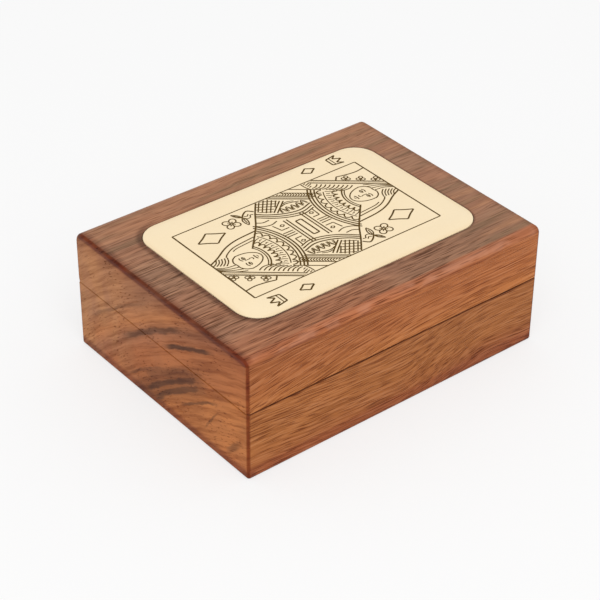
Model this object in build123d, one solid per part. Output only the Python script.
from build123d import *

import math
import os

# A wooden box for one pack of playing cards, with a lid on two brass butt hinges and a cream plate
# let into the top of the lid. Lengths are in millimetres and angles in degrees.
# The origin is the centre of the underside. +X runs along the length, -Y is the front, +Y is the
# hinge side and +Z is up.

# Outer block, before it is sawn into a base and a lid
LENGTH = 110.0
WIDTH = 84.0
HEIGHT = 41.0
SEAM_HEIGHT = 23.0  # from the underside to the middle of the saw cut
SEAM_GAP = 0.1  # air between the two rims with the lid shut
FRONT_EDGE_ROUND = 2.0  # the long front edge of the top
BACK_EDGE_ROUND = 3.7  # the long back edge of the top, sanded rounder
END_EDGE_ROUND = 1.0  # the short edges of the top and the four upright edges
BOTTOM_ROUND = 1.0
SEAM_EASE = 0.25  # the sharp outer edges of both rims, taken off

# Hollow, milled into both halves
WALL = 8.0
BASE_FLOOR = 5.0
LID_ROOF = 7.0
HOLLOW_CORNER = 5.0  # the radius that the cutter leaves in the corners
HOLLOW_FLOOR_ROUND = 1.0
RIM_EASE = 0.4  # the inner edges of both rims

# Plate in the lid
PLATE_LENGTH = 87.3
PLATE_WIDTH = 58.4
PLATE_THICKNESS = 2.0
PLATE_CORNER = 8.0
PLATE_PROUD = 0.15  # how far the plate stands above the wood
PLATE_EDGE_ROUND = 0.2
PLATE_GAP = 0.25  # between the plate's edge and the wood
PLATE_OFFSET_X = 0.7  # the plate was fitted by hand, a little off the middle
PLATE_OFFSET_Y = 0.4

# Hinges
HINGE_LENGTH = 20.0
HINGE_FROM_END = 23.0  # from each end of the box to the middle of its hinge
LEAF_WIDTH = 6.5  # from the axis to the free edge of a leaf
LEAF_THICKNESS = 0.6
LEAF_CORNER = 0.8
LEAF_CLEARANCE = 0.1  # between a leaf's edges and its mortise
BARREL_RADIUS = 1.1
BARREL_CLEARANCE = 0.15  # between the barrel and whatever turns round it
MIDDLE_KNUCKLE = 7.0  # length of the one knuckle on the lid leaf
KNUCKLE_GAP = 0.15
PIN_RADIUS = 0.5
PIN_CLEARANCE = 0.03
PIN_END_ROUND = 0.15

# Swing of the lid: the backs of both rims are cut back in planes through the hinge axis
OPEN_ANGLE = 100.0
SPARE_ANGLE = 1.5
LID_RELIEF_ANGLE = 73.0

# Screws
SCREW_LENGTH = 6.0
SCREW_RADIUS = 0.8
SCREW_HEAD_RADIUS = 1.4
SCREW_HEAD_HEIGHT = 0.6
SCREW_POINT = 1.4  # length of the tapered point
SCREW_CLEARANCE = 0.03
SCREW_SPACING = 11.0
SCREW_FROM_EDGE = 2.6  # from the free edge of a leaf to the middle of a screw
SCREW_SINK = 0.05  # how far a head lies below the face of its leaf
SLOT_WIDTH = 0.35
SLOT_DEPTH = 0.25
SLOT_TURN = 35.0  # each next screw was driven to another angle

# Worked out from the sizes above
BACK = WIDTH / 2
AXIS_Y = BACK - BARREL_RADIUS  # the barrel lies flush with the back of the box
BASE_RIM = SEAM_HEIGHT - SEAM_GAP / 2
LID_RIM = SEAM_HEIGHT + SEAM_GAP / 2
BASE_RELIEF_ANGLE = OPEN_ANGLE + SPARE_ANGLE - LID_RELIEF_ANGLE
HOLLOW_LENGTH = LENGTH - 2 * WALL
HOLLOW_WIDTH = WIDTH - 2 * WALL
OUTER_KNUCKLE = (HINGE_LENGTH - MIDDLE_KNUCKLE) / 2 - KNUCKLE_GAP
PLATE_SEAT = HEIGHT + PLATE_PROUD - PLATE_THICKNESS
CUT = 2.0  # how far a cutting shape runs past the faces that it cuts
TOLERANCE = 0.001

DOWN = -1  # the half of a hinge on the base
UP = 1  # the half of a hinge on the lid


def span_box(x_span, y_span, z_span):
    """A box between two values along each axis."""
    low = Vector(min(x_span), min(y_span), min(z_span))
    high = Vector(max(x_span), max(y_span), max(z_span))
    size = high - low
    middle = (low + high) * 0.5
    return Pos(middle) * Box(size.X, size.Y, size.Z)


def rod(radius, x_start, x_end):
    """A round bar along the hinge axis."""
    return Pos((x_start + x_end) / 2, 0, 0) * Rot(0, 90, 0) * Cylinder(radius, x_end - x_start)


def long_top_edge(block, side):
    """The long edge of the top at the front, for side -1, or at the back, for side 1."""
    edges = block.edges().filter_by(Axis.X)
    return [
        edge
        for edge in edges
        if abs(edge.center().Y - side * BACK) < TOLERANCE and abs(edge.center().Z - HEIGHT) < TOLERANCE
    ]


def outer_block():
    """The whole block with its edges rounded over."""
    block = span_box((-LENGTH / 2, LENGTH / 2), (-BACK, BACK), (0, HEIGHT))
    block = fillet(long_top_edge(block, -1), FRONT_EDGE_ROUND)
    block = fillet(long_top_edge(block, 1), BACK_EDGE_ROUND)
    end_outlines = [
        edge
        for edge in block.edges()
        if abs(abs(edge.center().X) - LENGTH / 2) < TOLERANCE and edge.center().Z > TOLERANCE
    ]
    block = fillet(end_outlines, END_EDGE_ROUND)
    return fillet(block.edges().group_by(Axis.Z)[0], BOTTOM_ROUND)


def sawn_piece(block, z_low, z_high):
    """The stretch of the block between two heights."""
    slab = span_box((-LENGTH, LENGTH), (-WIDTH, WIDTH), (z_low, z_high))
    return block & slab


def hollow_cutter(z_floor, z_rim):
    """The space milled out of one half, from its floor to a little past its rim."""
    toward_rim = 1 if z_rim > z_floor else -1
    outline = Pos(0, 0, z_floor) * RectangleRounded(HOLLOW_LENGTH, HOLLOW_WIDTH, HOLLOW_CORNER)
    depth = abs(z_rim - z_floor) + CUT
    space = extrude(outline, amount=toward_rim * depth)
    floor_edges = [edge for edge in space.edges() if abs(edge.center().Z - z_floor) < TOLERANCE]
    return fillet(floor_edges, HOLLOW_FLOOR_ROUND)


def ease_inner_rim(piece, z_rim):
    """Take the sharp edge off the mouth of the hollow."""
    mouth = [
        edge
        for edge in piece.edges()
        if abs(edge.center().Z - z_rim) < TOLERANCE
        and abs(edge.center().X) < HOLLOW_LENGTH / 2 + TOLERANCE
        and abs(edge.center().Y) < HOLLOW_WIDTH / 2 + TOLERANCE
    ]
    return chamfer(mouth, RIM_EASE)


def back_relief(half, angle):
    """The wedge cut off behind the hinge axis, its face in a plane through the axis."""
    rise = half * BARREL_RADIUS * math.tan(math.radians(angle))
    corners = [
        (AXIS_Y, SEAM_HEIGHT),
        (BACK, SEAM_HEIGHT + rise),
        (BACK + CUT, SEAM_HEIGHT + rise),
        (BACK + CUT, SEAM_HEIGHT - half * CUT),
        (AXIS_Y, SEAM_HEIGHT - half * CUT),
    ]
    face = make_face(Plane.YZ * Polyline(*corners, close=True))
    return extrude(face, amount=LENGTH, both=True)


def screw_body(grow, above):
    """A turned screw, its head at z = 0 and its point down. Grown and carried on above, it is the hole."""
    head = SCREW_HEAD_RADIUS + grow
    shank = SCREW_RADIUS + grow
    corners = [(0, above), (head, above)]
    if above > 0:
        corners.append((head, 0))
    corners += [
        (shank, -SCREW_HEAD_HEIGHT),
        (shank, SCREW_POINT - SCREW_LENGTH),
        (0, -SCREW_LENGTH - grow),
    ]
    face = make_face(Plane.XZ * Polyline(*corners, close=True))
    return revolve(face, Axis.Z)


def screw_places(half):
    """Where the two screws of a leaf go, seen from the middle of the hinge."""
    head_height = half * (SEAM_GAP / 2 + SCREW_SINK)
    turn_over = Rot(180, 0, 0) if half == UP else Rot(0, 0, 0)
    y = SCREW_FROM_EDGE - LEAF_WIDTH
    return [Pos(x, y, head_height) * turn_over for x in (-SCREW_SPACING / 2, SCREW_SPACING / 2)]


def screw(slot_angle):
    """One countersunk wood screw."""
    slot = Rot(0, 0, slot_angle) * Box(4 * SCREW_HEAD_RADIUS, SLOT_WIDTH, 2 * SLOT_DEPTH)
    return screw_body(0, 0) - slot


def knuckle_spans(half):
    """The stretches of the barrel that belong to one leaf."""
    if half == UP:
        return [(-MIDDLE_KNUCKLE / 2, MIDDLE_KNUCKLE / 2)]
    end = HINGE_LENGTH / 2
    return [(-end, OUTER_KNUCKLE - end), (end - OUTER_KNUCKLE, end)]


def hinge_leaf(half):
    """One leaf with its knuckles, round an axis through the origin."""
    half_length = HINGE_LENGTH / 2
    face_height = half * SEAM_GAP / 2
    leaf = span_box(
        (-half_length, half_length), (-LEAF_WIDTH, 0), (face_height, face_height + half * LEAF_THICKNESS)
    )
    leaf = fillet(leaf.edges().filter_by(Axis.Z).group_by(Axis.Y)[0], LEAF_CORNER)
    room = BARREL_RADIUS + BARREL_CLEARANCE
    for start, end in knuckle_spans(-half):
        leaf -= span_box((start - KNUCKLE_GAP, end + KNUCKLE_GAP), (-room, CUT), (-CUT, CUT))
    for start, end in knuckle_spans(half):
        leaf += rod(BARREL_RADIUS, start, end)
    leaf -= rod(PIN_RADIUS + PIN_CLEARANCE, -LENGTH, LENGTH)
    for place in screw_places(half):
        leaf -= place * screw_body(SCREW_CLEARANCE, CUT)
    return leaf


def hinge_pin():
    """The pin that both leaves turn on."""
    pin = rod(PIN_RADIUS, -HINGE_LENGTH / 2, HINGE_LENGTH / 2)
    return fillet(pin.edges().filter_by(GeomType.CIRCLE), PIN_END_ROUND)


def hinge_cutter(half):
    """What one half of a hinge takes out of the wood: mortise, barrel recess and screw holes."""
    end = HINGE_LENGTH / 2 + LEAF_CLEARANCE
    room = BARREL_RADIUS + BARREL_CLEARANCE
    floor = half * (SEAM_GAP / 2 + LEAF_THICKNESS)
    cutter = span_box((-end, end), (-LEAF_WIDTH - LEAF_CLEARANCE, BARREL_RADIUS + CUT), (-half * CUT, floor))
    cutter += rod(room, -end, end)
    cutter += span_box((-end, end), (0, BARREL_RADIUS + CUT), (0, half * room))
    for place in screw_places(half):
        cutter += place * screw_body(SCREW_CLEARANCE, 0)
    return cutter


def hinge_places():
    """The middle of each hinge, on the hinge axis."""
    return {
        "left": Pos(HINGE_FROM_END - LENGTH / 2, AXIS_Y, SEAM_HEIGHT),
        "right": Pos(LENGTH / 2 - HINGE_FROM_END, AXIS_Y, SEAM_HEIGHT),
    }


def plate_outline(grow):
    """The outline of the plate, or of its recess when it is grown."""
    shape = RectangleRounded(PLATE_LENGTH + 2 * grow, PLATE_WIDTH + 2 * grow, PLATE_CORNER + grow)
    return Pos(PLATE_OFFSET_X, PLATE_OFFSET_Y, PLATE_SEAT) * shape


def inlay_plate():
    """The cream plate, seated on the floor of its recess."""
    plate = extrude(plate_outline(0), amount=PLATE_THICKNESS)
    return fillet(plate.edges().group_by(Axis.Z)[-1], PLATE_EDGE_ROUND)


def base_block(block):
    """The lower half of the box."""
    base = sawn_piece(block, -CUT, BASE_RIM)
    base = chamfer(base.edges().group_by(Axis.Z)[-1], SEAM_EASE)
    base -= hollow_cutter(BASE_FLOOR, BASE_RIM)
    base = ease_inner_rim(base, BASE_RIM)
    base -= back_relief(DOWN, BASE_RELIEF_ANGLE)
    for place in hinge_places().values():
        base -= place * hinge_cutter(DOWN)
    return base


def lid_block(block):
    """The upper half of the box, with the recess for the plate."""
    lid = sawn_piece(block, LID_RIM, HEIGHT + CUT)
    lid = chamfer(lid.edges().group_by(Axis.Z)[0], SEAM_EASE)
    lid -= hollow_cutter(HEIGHT - LID_ROOF, LID_RIM)
    lid = ease_inner_rim(lid, LID_RIM)
    lid -= back_relief(UP, LID_RELIEF_ANGLE)
    for place in hinge_places().values():
        lid -= place * hinge_cutter(UP)
    lid -= extrude(plate_outline(PLATE_GAP), amount=PLATE_THICKNESS + CUT)
    return lid


def build_parts():
    """Every piece of the box, at its place, by name."""
    block = outer_block()
    parts = {
        "base_block": base_block(block),
        "lid_block": lid_block(block),
        "inlay_plate": inlay_plate(),
    }
    screws_driven = 0
    for side, place in hinge_places().items():
        parts[f"{side}_hinge_pin"] = place * hinge_pin()
        for half, owner in ((DOWN, "base"), (UP, "lid")):
            parts[f"{side}_{owner}_hinge_leaf"] = place * hinge_leaf(half)
            for number, spot in enumerate(screw_places(half), start=1):
                turned = screw(screws_driven * SLOT_TURN)
                parts[f"{side}_{owner}_hinge_screw_{number}"] = place * spot * turned
                screws_driven += 1
    return parts


os.makedirs("parts", exist_ok=True)
for name, shape in build_parts().items():
    export_step(shape, f"parts/{name}.step")
    print(f"{name}: {len(shape.solids())} solid, {shape.volume:.1f} mm3")
